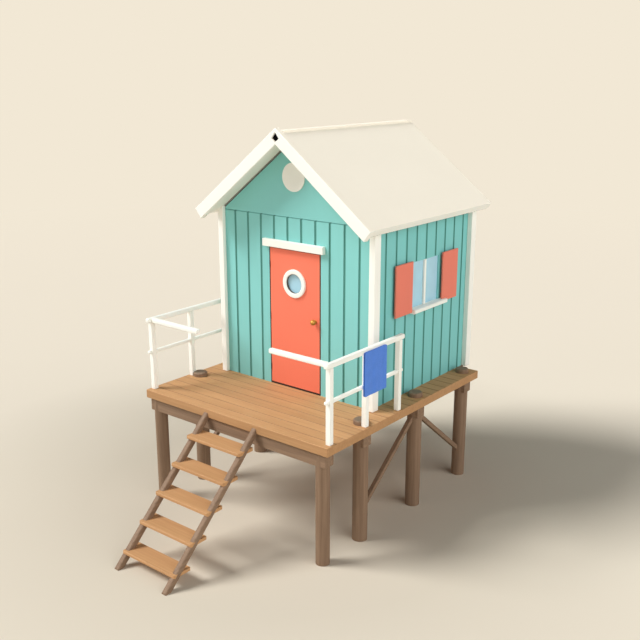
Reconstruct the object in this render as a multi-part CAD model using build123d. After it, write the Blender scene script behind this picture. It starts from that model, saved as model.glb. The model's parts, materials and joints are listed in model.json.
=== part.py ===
from build123d import *
from math import atan, cos, degrees, radians, sin, sqrt, tan
import os

# A beach hut on round timber piles, with a railed porch deck and a ladder. Millimetres.
# While it is drawn, x runs to the right along the front, y runs back from the face of
# the front wall, and z is the height above the ground.

# Hut
hut_width = 2680
hut_depth = 2500
wall_thickness = 90
wall_height = 2544  # from the deck to the soffit, at the outer face of a side wall
gable_seam_drop = 37  # from the soffit at the side wall down to where the gable starts
floor_thickness = 20

# Roof
roof_pitch = 37.74
roof_thickness = 116
eave_overhang = 134  # from the wall's face out to the lower corner of the slab
roof_front = 288  # how far the slab runs in front of the front wall
roof_back = 272
cap_lap = 4  # the ridge cap's lap on each slab
cap_rise = 30.5  # height of the ridge cap's side faces
barge_thickness = 90
barge_depth = 172
barge_above_roof = 8
barge_past_eave = 17

# Vent at the crossing of the bargeboards
vent_half_width = 65
vent_height = 132
vent_shoulder = 48  # from the bottom point up to the widest place
vent_below_top = 53
vent_plate_thickness = 30
vent_recess = 25

# Trim on the front
disc_radius = 198
disc_below_peak = 521  # from the soffit's peak down to the disc's middle
disc_thickness = 16
lintel_length = 1100
lintel_height = 108
lintel_depth = 62
lintel_above_door = 15

# Corner posts
corner_lap = 18  # lap over the front or back wall
corner_side_lap = 67  # lap over the side wall
corner_proud_side = 80
corner_proud_front = 64

# Door
door_opening_width = 920
door_opening_height = 2045
door_thickness = 44
door_gap = 5
door_free_gap = 7  # wider at the free edge, so that the leaf swings out
sill_height = 20
stop_width = 20
stop_gap = 6  # between the leaf's back and the stops
stop_joint = 1  # between the head stop and the side stops
porthole_height = 1570
porthole_glass_radius = 138
porthole_ring_radius = 205
porthole_ring_proud = 30
porthole_ring_bevel = 10
porthole_sleeve = 12
porthole_inner_ring_radius = 180
porthole_inner_proud = 12
glass_thickness = 6
knob_height = 1080
knob_inset = 80  # from the leaf's free edge
knob_radius = 37.5
knob_sides = 20
knob_bevel = 20  # round the ball's front and back
knob_stand = 55  # from the leaf's face to the middle of the ball
knob_neck_radius = 13
knob_plate_radius = 30
knob_plate_thickness = 6
spindle_radius = 8
spindle_fit = 0.3

# Hinges of the door
hinge_heights = (260, 1030, 1800)  # middles, above the deck
hinge_height = 90
hinge_barrel_radius = 6
hinge_plate_depth = 34  # how far the plates run back into the gap beside the door
hinge_plate_thickness = 2
hinge_pin_radius = 3
hinge_pin_fit = 0.3
hinge_knuckle_gap = 1
hinge_stand_off = 1  # from the wall's face to the barrel

# Windows in the side walls
window_front = 912  # y of the opening's front edge
window_width = 726
window_bottom = 1232
window_height = 661
window_frame_width = 30
window_frame_depth = 60
window_glass_setback = 16
mullion_width = 60
mullion_proud = 15
mullion_shift = -7  # the mullion stands a little in front of the middle
window_sill_front_ear = 25  # how far the sill runs past the opening, up to the front shutter
window_sill_back_ear = 123
window_sill_thickness = 60
window_sill_proud = 112
window_sill_lip = 6  # the sill's top above the opening's bottom

# Fixed shutters
shutter_thickness = 25
shutter_gap = 35  # battens hold the panel off the wall by this much
shutter_below_window = 34
shutter_height = 732
front_shutter_width = 417
front_shutter_aside = 27  # between the shutter and the opening
back_shutter_width = 415
back_shutter_aside = 37
batten_height = 70
batten_inset = 45

# Deck
deck_height = 1690  # top of the deck above the ground
deck_thickness = 122
deck_side = 336  # deck that shows beside the hut
deck_front = 1374  # from the front wall's face to the deck's front edge
deck_back_short = 125  # the hut's back wall stands this far behind the deck
edge_radius = 8
small_radius = 5

# Piles, from the front row to the back row
pile_inset = 107  # from the bearer's end to the pile's middle
front_pile_inset = 118  # from the deck's front edge
second_pile_ahead = 449  # in front of the front wall's face
third_pile_behind = 855  # behind the front wall's face
back_pile_inset = 204  # from the deck's back edge
pile_radii = (93.5, 105, 106, 100)
pile_names = ("front_piles", "second_piles", "third_piles", "back_piles")
pile_above_deck = 62
pile_top_bevel = 16
pile_clearance = 2  # round a pile where it passes the deck boards
bearer_inset = 61  # from the deck's side edge to the bearer's end
bearer_width = 175
bearer_height = 180
brace_size = 65
brace_low_height = 402  # of a brace's centre line at the outer piles
brace_high_drop = 241  # from the deck's top to both centre lines at the middle pile

# Rails
post_size = 70
post_inset = 61  # from the deck's side edge to the post's middle
front_post_inset = 116  # from the deck's front edge
back_post_behind = 242  # behind the front wall's face
top_rail_height = 67
rail_top = 1070
mid_rail_size = 50
mid_rail_height = 48
mid_rail_bottom = 540
top_rail_ahead = 87  # past the front post's middle
top_rail_behind = 96  # past the back post's middle
mid_rail_ahead = 90
mid_rail_behind = 83
front_rail_inner = 650
rail_end_radius = 20

# Towel, folded once, that hangs from two pegs on the outer face of the right rail
towel_width = 498
towel_ahead = 106  # in front of the middle post's middle
towel_thickness = 24
towel_clearance = 0.3
towel_top = 1040
towel_bottom = 441
towel_corner_radius = 34
peg_radius = 6
peg_length = 15
peg_inset = 70  # from the towel's side edges
peg_drop = 22  # from the towel's top

# Ladder
ladder_half_width = 488
stringer_thickness = 80
stringer_depth = 88
stringer_round = 20
stringer_top = 48  # from the deck's top down to where a stringer's front meets the deck's face
stringer_run = 1667  # from the deck's face forward to the toe
stringer_toe = 18
tread_count = 5
tread_first_drop = 288  # from the deck's top down to the first tread's top
tread_first_ahead = 341  # from the deck's face forward to the first tread's front edge
tread_rise = 301
tread_going = 295
tread_depth = 282
tread_thickness = 45
tread_edge_bevel = 7
tread_corner_bevel = 14

# Worked out from the sizes above
half_width = hut_width / 2
deck_width = hut_width + 2 * deck_side
deck_back = hut_depth - deck_back_short
bearer_reach = deck_width / 2 - bearer_inset
pile_x = bearer_reach - pile_inset
pile_rows = (-deck_front + front_pile_inset, -second_pile_ahead, third_pile_behind,
             deck_back - back_pile_inset)
post_x = deck_width / 2 - post_inset
front_post_y = -deck_front + front_post_inset
post_rows = (front_post_y, (front_post_y + back_post_behind) / 2, back_post_behind)
deck_bottom = deck_height - deck_thickness
slope = tan(radians(roof_pitch))
pitch_cos = cos(radians(roof_pitch))
pitch_sin = sin(radians(roof_pitch))
soffit_peak = deck_height + wall_height + slope * half_width
roof_top_peak = soffit_peak + roof_thickness / pitch_cos
barge_top_peak = roof_top_peak + barge_above_roof / pitch_cos
roof_start = -roof_front
roof_end = hut_depth + roof_back
barge_start = roof_start - barge_thickness
door_half = door_opening_width / 2
hinge_axis_x = -door_half + door_gap / 2
hinge_axis_y = -hinge_barrel_radius - hinge_stand_off
door_top = deck_height + door_opening_height
inner_half = half_width - wall_thickness
inner_back = hut_depth - wall_thickness
stringer_top_z = deck_height - stringer_top
ladder_slope = (stringer_top_z - stringer_toe) / stringer_run
pitch_ladder = atan(ladder_slope)
ladder_toe_y = -deck_front - stringer_run
middle_y = (ladder_toe_y + roof_end) / 2

nodes = {}


# A plain block between two corners
def block(x0, x1, y0, y1, z0, z1):
    return Pos((x0 + x1) / 2, (y0 + y1) / 2, (z0 + z1) / 2) * Box(x1 - x0, y1 - y0, z1 - z0)


# An outline in the front view, run back from y0 to y1
def run_back(outline, y0, y1):
    wire = Polyline(*[(x, y0, z) for x, z in outline], close=True)
    return extrude(make_face(wire), y1 - y0, dir=(0, 1, 0))


# An outline in the side view, run across from x0 to x1
def run_across(outline, x0, x1):
    wire = Polyline(*[(x0, y, z) for y, z in outline], close=True)
    return extrude(make_face(wire), x1 - x0, dir=(1, 0, 0))


# A shape turned about the y direction through x, z: the profile is radius and y
def turned(profile, x, z):
    wire = Polyline(*[(r, y, 0) for r, y in profile], close=True)
    return Pos(x, 0, z) * revolve(make_face(wire), Axis.Y)


def mirrored(shape):
    return mirror(shape, Plane.YZ)


# Both sides of something drawn on the right
def both_sides(*shapes):
    return list(shapes) + [mirrored(shape) for shape in shapes]


def soffit(x):
    return soffit_peak - slope * abs(x)


def row_z(height):
    return deck_height + height


# A rail post stands on the deck, up to the underside of the top rail
def rail_post(y):
    half = post_size / 2
    return block(post_x - half, post_x + half, y - half, y + half, deck_height,
                 row_z(rail_top) - top_rail_height)


def make_piles():
    slot_top = deck_bottom
    slot_bottom = deck_bottom - bearer_height
    for name, y, radius in zip(pile_names, pile_rows, pile_radii):
        passes = name != pile_names[0]
        top = deck_height + pile_above_deck if passes else deck_bottom
        pile = Pos(pile_x, y, top / 2) * Cylinder(radius, top)
        if passes:
            rims = pile.edges().filter_by(GeomType.CIRCLE).sort_by(Axis.Z)
            pile = chamfer(rims[-1], pile_top_bevel)
        half = bearer_width / 2
        pile -= block(pile_x - 2 * radius, pile_x + 2 * radius, y - half, y + half, slot_bottom, slot_top)
        for post_y in post_rows:
            pile -= rail_post(post_y)
        nodes[name] = both_sides(pile)


def make_bearers():
    half = bearer_width / 2
    nodes["bearers"] = [
        block(-bearer_reach, bearer_reach, y - half, y + half, deck_bottom - bearer_height, deck_bottom)
        for y in pile_rows
    ]


def make_braces():
    rows = list(zip(pile_rows, pile_radii))
    brace_high_height = deck_height - brace_high_drop
    top_row = rows[2]
    braces = []
    for foot_row in (rows[1], rows[3]):
        run = foot_row[0] - top_row[0]
        rise = brace_low_height - brace_high_height
        angle = degrees(atan(rise / run))
        length = sqrt(run**2 + rise**2)
        middle = (top_row[0] + run / 2, brace_high_height + rise / 2)
        bar = Pos(pile_x, *middle) * Rot(angle, 0, 0) * Box(brace_size, length, brace_size)
        for y, radius in (top_row, foot_row):
            bar -= Pos(pile_x, y, deck_height / 2) * Cylinder(radius, deck_height)
        braces += both_sides(bar)
    nodes["braces"] = braces


def make_deck():
    half = deck_width / 2
    deck = block(-half, half, -deck_front, deck_back, deck_bottom, deck_height)
    deck = fillet(deck.edges().filter_by(Axis.Z), edge_radius)
    deck = chamfer(deck.faces().sort_by(Axis.Z)[-1].edges(), small_radius)
    for y, radius in zip(pile_rows[1:], pile_radii[1:]):
        for side in (-1, 1):
            deck -= Pos(side * pile_x, y, deck_height) * Cylinder(radius + pile_clearance, 4 * deck_thickness)
    nodes["deck"] = [deck]
    nodes["back_floor_beam"] = [
        block(-half_width, half_width, deck_back, hut_depth, deck_bottom, deck_height)
    ]
    floor = block(-inner_half, inner_half, wall_thickness, inner_back, deck_height, row_z(floor_thickness))
    nodes["hut_floor"] = [floor]


def make_ladder():
    toe_line_y = ladder_toe_y - stringer_toe / ladder_slope
    back_shift = stringer_depth / sin(pitch_ladder)
    bearer_face = pile_rows[0] - bearer_width / 2
    foot_back_y = toe_line_y + back_shift
    outline = [
        (ladder_toe_y, stringer_toe),
        (-deck_front, stringer_top_z),
        (-deck_front, deck_bottom),
        (bearer_face, deck_bottom),
        (bearer_face, (bearer_face - foot_back_y) * ladder_slope),
        (foot_back_y, 0),
        (ladder_toe_y, 0),
    ]
    inner = ladder_half_width - stringer_thickness
    stringer = run_across(outline, inner, ladder_half_width)
    slanted = stringer.edges().filter_by(lambda edge: abs((edge % 0.5).Y) > 0.3 and abs((edge % 0.5).Z) > 0.3)
    stringer = fillet(slanted, stringer_round)
    nodes["right_stringer"] = [stringer]
    nodes["left_stringer"] = [mirrored(stringer)]
    for i in range(tread_count):
        top = deck_height - tread_first_drop - i * tread_rise
        front = -deck_front - tread_first_ahead - i * tread_going
        tread = block(
            -ladder_half_width, ladder_half_width, front, front + tread_depth, top - tread_thickness, top
        )
        tread = chamfer(tread.edges().filter_by(Axis.Z), tread_corner_bevel)
        tread = chamfer(tread.edges().filter_by(Axis.X), tread_edge_bevel)
        tread -= stringer
        tread -= mirrored(stringer)
        nodes[f"tread_{i + 1}"] = [tread]


def make_front_wall():
    seam = row_z(wall_height - gable_seam_drop)
    nodes["front_wall_left"] = [block(-half_width, -door_half, 0, wall_thickness, deck_height, seam)]
    nodes["front_wall_right"] = [block(door_half, half_width, 0, wall_thickness, deck_height, seam)]
    nodes["front_wall_over_door"] = [block(-door_half, door_half, 0, wall_thickness, door_top, seam)]
    gable = [(-half_width, seam), (half_width, seam), (half_width, soffit(half_width)), (0, soffit_peak),
             (-half_width, soffit(half_width))]
    nodes["front_gable"] = [run_back(gable, 0, wall_thickness)]
    nodes["back_wall"] = [block(-half_width, half_width, inner_back, hut_depth, deck_height, seam)]
    nodes["back_gable"] = [run_back(gable, inner_back, hut_depth)]


def make_side_walls():
    section = [(inner_half, deck_height), (half_width, deck_height), (half_width, soffit(half_width)),
               (inner_half, soffit(inner_half))]
    window_end = window_front + window_width
    window_z = row_z(window_bottom)
    ends = [run_back(section, wall_thickness, window_front), run_back(section, window_end, inner_back)]
    under = block(inner_half, half_width, window_front, window_end, deck_height, window_z)
    over = run_back(section, window_front, window_end)
    over -= block(0, deck_width, 0, hut_depth, 0, window_z + window_height)
    nodes["right_wall_ends"] = ends
    nodes["left_wall_ends"] = [mirrored(wall) for wall in ends]
    nodes["right_wall_middle"] = [under, over]
    nodes["left_wall_middle"] = [mirrored(under), mirrored(over)]


def make_corner_posts():
    inner = half_width - corner_lap
    outer = half_width + corner_proud_side
    section = [(inner, deck_height), (outer, deck_height), (outer, soffit(outer)), (inner, soffit(inner))]
    front = run_back(section, -corner_proud_front, corner_side_lap)
    back = run_back(section, hut_depth - corner_side_lap, hut_depth + corner_proud_front)
    hut = block(-half_width, half_width, 0, hut_depth, 0, 2 * soffit_peak)
    nodes["corner_posts"] = both_sides(front - hut, back - hut)


# A bar that leans with the roof: its lower edge starts at the middle and runs down to x_low
def leaning_bar(peak, depth, x_low, y0, y1):
    low = (x_low, peak - slope * x_low)
    outline = [
        (0, peak),
        low,
        (low[0] + depth * pitch_sin, low[1] + depth * pitch_cos),
        (depth * pitch_sin, peak + depth * pitch_cos),
    ]
    return run_back(outline, y0, y1)


def make_roof():
    eave_x = half_width + eave_overhang
    slab = leaning_bar(soffit_peak, roof_thickness, eave_x, roof_start, roof_end)
    nodes["roof_right"] = [slab]
    nodes["roof_left"] = [mirrored(slab)]
    shoulder_x = roof_thickness * pitch_sin
    shoulder_z = soffit_peak + roof_thickness * pitch_cos
    side_x = shoulder_x + cap_lap
    side_z = roof_top_peak - slope * side_x
    key = [(0, soffit_peak), (shoulder_x, shoulder_z), (side_x, side_z), (side_x, side_z + cap_rise)]
    outline = key + [(-x, z) for x, z in reversed(key[1:])]
    nodes["ridge_cap"] = [run_back(outline, roof_start, roof_end)]


def make_bargeboards():
    peak = barge_top_peak - barge_depth / pitch_cos
    top_x = half_width + eave_overhang + roof_thickness * pitch_sin
    end_x = top_x + barge_above_roof * pitch_sin + barge_past_eave * pitch_cos - barge_depth * pitch_sin
    board = leaning_bar(peak, barge_depth, end_x, barge_start, roof_start)
    board += run_back([(0, peak), (barge_depth * pitch_sin, peak + barge_depth * pitch_cos),
                       (0, barge_top_peak)], barge_start, roof_start)
    vent_top = barge_top_peak - vent_below_top
    kite = [
        (0, vent_top - vent_height),
        (vent_half_width, vent_top - vent_height + vent_shoulder),
        (0, vent_top),
        (-vent_half_width, vent_top - vent_height + vent_shoulder),
    ]
    board -= run_back(kite, barge_start, roof_start)
    nodes["right_bargeboard"] = [board]
    nodes["left_bargeboard"] = [mirrored(board)]
    plate_start = barge_start + vent_recess
    nodes["vent_plate"] = [run_back(kite, plate_start, plate_start + vent_plate_thickness)]


def make_front_trim():
    disc = [(0, -disc_thickness), (disc_radius, -disc_thickness), (disc_radius, 0), (0, 0)]
    nodes["gable_disc"] = [turned(disc, 0, soffit_peak - disc_below_peak)]
    lintel_z = door_top + lintel_above_door
    half = lintel_length / 2
    lintel = block(-half, half, -lintel_depth, 0, lintel_z, lintel_z + lintel_height)
    nodes["lintel"] = [fillet(lintel.faces().sort_by(Axis.Y)[0].edges(), edge_radius)]


# A flat-sided round of the knob that faces the front
def knob_outline(x, y, z, radius):
    return Plane((x, y, z), x_dir=(1, 0, 0), z_dir=(0, -1, 0)) * RegularPolygon(radius, knob_sides)


def make_door():
    leaf_left = -door_half + door_gap
    leaf_right = door_half - door_free_gap
    leaf_bottom = row_z(sill_height) + door_gap
    leaf_top = door_top - door_gap
    leaf = block(leaf_left, leaf_right, 0, door_thickness, leaf_bottom, leaf_top)
    port_z = row_z(porthole_height)
    sleeve_radius = porthole_glass_radius + porthole_sleeve
    hole = [(0, 0), (sleeve_radius, 0), (sleeve_radius, door_thickness), (0, door_thickness)]
    leaf -= turned(hole, 0, port_z)
    knob_z = row_z(knob_height)
    bore_radius = spindle_radius + spindle_fit
    spindle = [(0, 0), (spindle_radius, 0), (spindle_radius, door_thickness), (0, door_thickness)]
    bore = [(0, 0), (bore_radius, 0), (bore_radius, door_thickness), (0, door_thickness)]
    knob_x = leaf_right - knob_inset
    leaf -= turned(bore, knob_x, knob_z)
    nodes["door_leaf"] = [leaf]

    ring = [
        (porthole_glass_radius, porthole_ring_bevel - porthole_ring_proud),
        (porthole_glass_radius + porthole_ring_bevel, -porthole_ring_proud),
        (porthole_ring_radius - porthole_ring_bevel, -porthole_ring_proud),
        (porthole_ring_radius, porthole_ring_bevel - porthole_ring_proud),
        (porthole_ring_radius, 0),
        (sleeve_radius, 0),
        (sleeve_radius, door_thickness),
        (porthole_glass_radius, door_thickness),
    ]
    nodes["porthole_ring"] = [turned(ring, 0, port_z)]
    inner_face = door_thickness + porthole_inner_proud
    inner_ring = [
        (porthole_glass_radius, door_thickness),
        (porthole_inner_ring_radius, door_thickness),
        (porthole_inner_ring_radius, inner_face),
        (porthole_glass_radius, inner_face),
    ]
    nodes["porthole_inner_ring"] = [turned(inner_ring, 0, port_z)]
    glass_y = door_thickness / 2 - glass_thickness / 2
    glass = [(0, glass_y), (porthole_glass_radius, glass_y),
             (porthole_glass_radius, glass_y + glass_thickness), (0, glass_y + glass_thickness)]
    nodes["porthole_glass"] = [turned(glass, 0, port_z)]

    # The knob outside, from its plate on the leaf to the front of the ball, with its mate inside
    ball_back = knob_stand - knob_radius
    ball = extrude(knob_outline(knob_x, -ball_back, knob_z, knob_radius), 2 * knob_radius)
    ball_ends = ball.faces().filter_by(Axis.Y)
    ball = chamfer(ball_ends[0].edges() + ball_ends[-1].edges(), knob_bevel)
    outside = ball + extrude(knob_outline(knob_x, 0, knob_z, knob_plate_radius), knob_plate_thickness)
    outside += extrude(knob_outline(knob_x, 0, knob_z, knob_neck_radius), ball_back)
    inside = Pos(0, door_thickness, 0) * mirror(outside, Plane.XZ)
    nodes["door_knobs"] = [outside + inside + turned(spindle, knob_x, knob_z)]

    sill_top = row_z(sill_height)
    nodes["door_sill"] = [block(-door_half, door_half, 0, wall_thickness, deck_height, sill_top)]
    stop_front = door_thickness + stop_gap
    side_stop = block(door_half - stop_width, door_half, stop_front, wall_thickness, sill_top, door_top)
    head_half = door_half - stop_width - stop_joint
    head = block(-head_half, head_half, stop_front, wall_thickness, door_top - stop_width, door_top)
    nodes["door_stops"] = both_sides(side_stop) + [head]


# One knuckle of a hinge barrel round the door's axis
def knuckle(z0, z1, radius):
    return Pos(hinge_axis_x, hinge_axis_y, (z0 + z1) / 2) * Cylinder(radius, z1 - z0)


def make_hinges():
    frame_parts = []
    door_parts = []
    cut_back = hinge_barrel_radius + hinge_knuckle_gap
    wall_edge = -door_half
    leaf_edge = -door_half + door_gap
    for middle in hinge_heights:
        low = row_z(middle) - hinge_height / 2
        third = hinge_height / 3
        mid_low = low + third
        mid_high = low + 2 * third
        high = low + hinge_height
        frame_plate_edge = wall_edge + hinge_plate_thickness
        frame = block(wall_edge, frame_plate_edge, hinge_axis_y, hinge_plate_depth, low, high)
        frame += knuckle(low, high, hinge_barrel_radius)
        frame -= block(
            hinge_axis_x - cut_back, hinge_axis_x + cut_back, hinge_axis_y - cut_back, 0,
            mid_low - hinge_knuckle_gap, mid_high + hinge_knuckle_gap,
        )
        frame += knuckle(low, high, hinge_pin_radius)
        frame_parts.append(frame)
        leaf = block(leaf_edge - hinge_plate_thickness, leaf_edge, hinge_axis_y, hinge_plate_depth, low, high)
        for z0, z1 in ((low, mid_low), (mid_high, high)):
            leaf -= block(hinge_axis_x - cut_back, hinge_axis_x + cut_back, -cut_back, 0, z0, z1)
        leaf += knuckle(mid_low, mid_high, hinge_barrel_radius)
        leaf -= knuckle(mid_low, mid_high, hinge_pin_radius + hinge_pin_fit)
        door_parts.append(leaf)
    nodes["hinge_frame_parts"] = frame_parts
    nodes["hinge_door_parts"] = door_parts


# The projecting board of a window sill, with square edges
def sill_board():
    top = row_z(window_bottom) + window_sill_lip
    return block(half_width, half_width + window_sill_proud, window_front - window_sill_front_ear,
                 window_front + window_width + window_sill_back_ear, top - window_sill_thickness, top)


def make_windows():
    z0 = row_z(window_bottom)
    z1 = z0 + window_height
    y0 = window_front
    y1 = window_front + window_width
    glass_outer = half_width - window_glass_setback
    glass_inner = glass_outer - glass_thickness
    frame_inner = glass_inner - window_frame_depth
    glass = block(glass_inner, glass_outer, y0, y1, z0, z1)
    frame = block(frame_inner, glass_inner, y0, y1, z0, z1)
    frame -= block(
        frame_inner, glass_inner, y0 + window_frame_width, y1 - window_frame_width,
        z0 + window_frame_width, z1 - window_frame_width,
    )
    nodes["window_frames"] = both_sides(frame)
    nodes["window_glass"] = both_sides(glass)
    middle = (y0 + y1) / 2 + mullion_shift
    sill_top = z0 + window_sill_lip
    mullion = block(glass_outer, half_width + mullion_proud, middle - mullion_width / 2,
                    middle + mullion_width / 2, sill_top, z1)
    nodes["window_mullions"] = both_sides(mullion)
    sill = sill_board()
    sill = fillet(sill.faces().sort_by(Axis.X)[-1].edges(), edge_radius)
    sill += block(glass_outer, half_width, y0, y1, z0, sill_top)
    nodes["window_sills"] = both_sides(sill)


def make_shutters():
    shutters = []
    z0 = row_z(window_bottom) - shutter_below_window
    panel_inner = half_width + shutter_gap
    front_shutter_y = window_front - front_shutter_aside - front_shutter_width
    back_shutter_y = window_front + window_width + back_shutter_aside
    for front, width in ((front_shutter_y, front_shutter_width), (back_shutter_y, back_shutter_width)):
        panel = block(panel_inner, panel_inner + shutter_thickness, front, front + width,
                      z0, z0 + shutter_height)
        panel = fillet(panel.faces().sort_by(Axis.X)[-1].edges(), edge_radius)
        for low in (z0 + batten_inset, z0 + shutter_height - batten_inset - batten_height):
            panel += block(half_width, panel_inner, front + batten_inset, front + width - batten_inset,
                           low, low + batten_height)
        shutters.append(panel - sill_board())
    nodes["shutters"] = both_sides(*shutters)


# A side rail with rounded ends
def rail_along_y(width, y0, y1, z0, z1):
    rail = block(post_x - width / 2, post_x + width / 2, y0, y1, z0, z1)
    return fillet(rail.edges().filter_by(Axis.X), rail_end_radius)


def make_rails():
    post_half = post_size / 2
    post_top = row_z(rail_top) - top_rail_height
    mid_z = row_z(mid_rail_bottom)
    mid = rail_along_y(mid_rail_size, post_rows[0] - mid_rail_ahead, post_rows[-1] + mid_rail_behind,
                       mid_z, mid_z + mid_rail_height)
    nodes["rail_posts"] = both_sides(*[rail_post(y) - mid for y in post_rows])
    nodes["side_mid_rails"] = both_sides(mid)
    top = rail_along_y(post_size, post_rows[0] - top_rail_ahead, post_rows[-1] + top_rail_behind,
                       post_top, row_z(rail_top))
    nodes["side_top_rails"] = both_sides(top)
    front = block(front_rail_inner, post_x - post_half, post_rows[0] - post_half, post_rows[0] + post_half,
                  post_top, row_z(rail_top))
    front_end = front.faces().sort_by(Axis.X)[0].edges().filter_by(Axis.Y)
    nodes["front_rails"] = both_sides(fillet(front_end, rail_end_radius))


def make_towel():
    rail_face = post_x + post_size / 2
    front = post_rows[1] - towel_ahead
    height = towel_top - towel_bottom
    outline = RectangleRounded(towel_width, height, towel_corner_radius)
    place = Plane((rail_face + towel_clearance, front + towel_width / 2, row_z(towel_bottom) + height / 2),
                  x_dir=(0, 1, 0), z_dir=(1, 0, 0))
    towel = extrude(place * outline, towel_thickness)
    pegs = []
    for y in (front + peg_inset, front + towel_width - peg_inset):
        seat = Plane((rail_face, y, row_z(towel_top) - peg_drop), z_dir=(1, 0, 0))
        pegs.append(seat * extrude(Circle(peg_radius), peg_length))
        towel -= seat * extrude(Circle(peg_radius + towel_clearance), peg_length + towel_clearance)
    nodes["towel"] = [towel]
    nodes["towel_pegs"] = pegs


make_piles()
make_bearers()
make_braces()
make_deck()
make_ladder()
make_front_wall()
make_side_walls()
make_corner_posts()
make_roof()
make_bargeboards()
make_front_trim()
make_door()
make_hinges()
make_windows()
make_shutters()
make_rails()
make_towel()

# The origin is on the ground, under the middle of the whole object
os.makedirs("parts", exist_ok=True)
for node, solids in nodes.items():
    shape = Compound(children=[Pos(0, -middle_y, 0) * solid for solid in solids])
    export_step(shape, f"parts/{node}.step")
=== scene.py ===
import bpy
import json
import math
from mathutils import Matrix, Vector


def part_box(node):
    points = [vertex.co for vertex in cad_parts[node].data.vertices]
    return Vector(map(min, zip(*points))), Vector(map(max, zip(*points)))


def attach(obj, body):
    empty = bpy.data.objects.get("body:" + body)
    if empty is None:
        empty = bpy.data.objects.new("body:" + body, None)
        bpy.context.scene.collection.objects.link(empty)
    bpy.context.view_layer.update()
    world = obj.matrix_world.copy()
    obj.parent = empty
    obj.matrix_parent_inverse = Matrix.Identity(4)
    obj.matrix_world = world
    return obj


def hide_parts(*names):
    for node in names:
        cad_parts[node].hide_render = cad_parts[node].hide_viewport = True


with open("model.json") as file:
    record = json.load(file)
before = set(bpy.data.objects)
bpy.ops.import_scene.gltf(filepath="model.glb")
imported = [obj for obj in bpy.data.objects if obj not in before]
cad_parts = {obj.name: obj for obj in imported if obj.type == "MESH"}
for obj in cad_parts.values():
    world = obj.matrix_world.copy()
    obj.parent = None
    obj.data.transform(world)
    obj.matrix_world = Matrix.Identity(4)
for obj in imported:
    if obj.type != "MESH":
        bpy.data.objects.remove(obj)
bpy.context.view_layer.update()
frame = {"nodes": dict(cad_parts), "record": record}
nodes = frame["nodes"]
quarter = math.pi / 2
deckTop = 1.690
shift = 0.1345  # from the front wall's own zero to the frame's middle
weld = 0.00002  # points nearer than this are merged
hair = 0.001  # how near to a face or corner a point counts as on it


# Small helpers for modelling

def deselect():
    bpy.ops.object.select_all(action="DESELECT")


def leaveEdit():
    bpy.ops.object.mode_set(mode="OBJECT")


def only(*objects):
    if bpy.context.object and bpy.context.object.mode == "EDIT":
        leaveEdit()
    deselect()
    for item in objects:
        item.select_set(True)
    bpy.context.view_layer.objects.active = objects[0]


def editAll(piece):
    only(piece)
    bpy.ops.object.mode_set(mode="EDIT")
    bpy.ops.mesh.select_all(action="SELECT")


def pick(piece, test, kind="FACE"):
    only(piece)
    bpy.ops.object.mode_set(mode="EDIT")
    bpy.ops.mesh.select_mode(type=kind)
    bpy.ops.mesh.select_all(action="DESELECT")
    leaveEdit()
    mesh = piece.data
    if kind == "FACE":
        for face in mesh.polygons:
            face.select = test(face.center, face.normal)
    elif kind == "EDGE":
        for edge in mesh.edges:
            start, end = (mesh.vertices[index].co for index in edge.vertices)
            edge.select = test(start, end)
    else:
        for vertex in mesh.vertices:
            vertex.select = test(vertex.co)
    bpy.ops.object.mode_set(mode="EDIT")


def settle(piece):
    only(piece)
    bpy.ops.object.transform_apply(location=True, rotation=True, scale=True)


def modify(piece, kind, **settings):
    only(piece)
    modifier = piece.modifiers.new(kind.lower(), kind)
    for name, value in settings.items():
        setattr(modifier, name, value)
    bpy.ops.object.modifier_apply(modifier=modifier.name)


def soften(piece, width, segments=3, angle=32):
    modify(piece, "BEVEL", width=width, segments=segments, limit_method="ANGLE",
           angle_limit=math.radians(angle), harden_normals=False)


def roundEdges(piece, test, width, segments):
    pick(piece, test, "EDGE")
    bpy.ops.mesh.bevel(offset=width, segments=segments, affect="EDGES")
    leaveEdit()


def combine(piece, other, operation):
    modify(piece, "BOOLEAN", operation=operation, solver="EXACT", object=other)
    bpy.data.objects.remove(other)


def cut(piece, cutter):
    combine(piece, cutter, "DIFFERENCE")


def facesOutward(piece):
    editAll(piece)
    bpy.ops.mesh.normals_make_consistent(inside=False)
    leaveEdit()


def flipOver(piece):
    only(piece)
    piece.scale = (-1, 1, 1)
    settle(piece)
    facesOutward(piece)


def boxPiece(name, low, high):
    deselect()
    middle = [(a + b) / 2 for a, b in zip(low, high)]
    bpy.ops.mesh.primitive_cube_add(size=1, location=middle)
    piece = bpy.context.object
    piece.name = name
    piece.scale = [b - a for a, b in zip(low, high)]
    settle(piece)
    return piece


def cylinderPiece(radius, depth, place, turn=(0, 0, 0), vertices=32):
    deselect()
    bpy.ops.mesh.primitive_cylinder_add(vertices=vertices, radius=radius, depth=depth,
                                        location=place, rotation=turn)
    return bpy.context.object


def joined(pieces, name):
    only(*pieces)
    bpy.ops.object.join()
    piece = bpy.context.object
    piece.name = name
    return piece


def copyOf(piece, name, place=(0, 0, 0), turn=(0, 0, 0)):
    twin = bpy.data.objects.new(name, piece.data.copy())
    bpy.context.collection.objects.link(twin)
    twin.location = place
    twin.rotation_euler = turn
    settle(twin)
    return twin


# A CAD node's own shape, its flat faces merged, for a piece that gets rounder edges
def cadCopy(name, node):
    piece = bpy.data.objects.new(name, nodes[node].data.copy())
    bpy.context.collection.objects.link(piece)
    piece.data.materials.clear()
    editAll(piece)
    bpy.ops.mesh.remove_doubles(threshold=weld)
    bpy.ops.mesh.dissolve_limited(angle_limit=math.radians(0.6))
    leaveEdit()
    return piece


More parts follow.
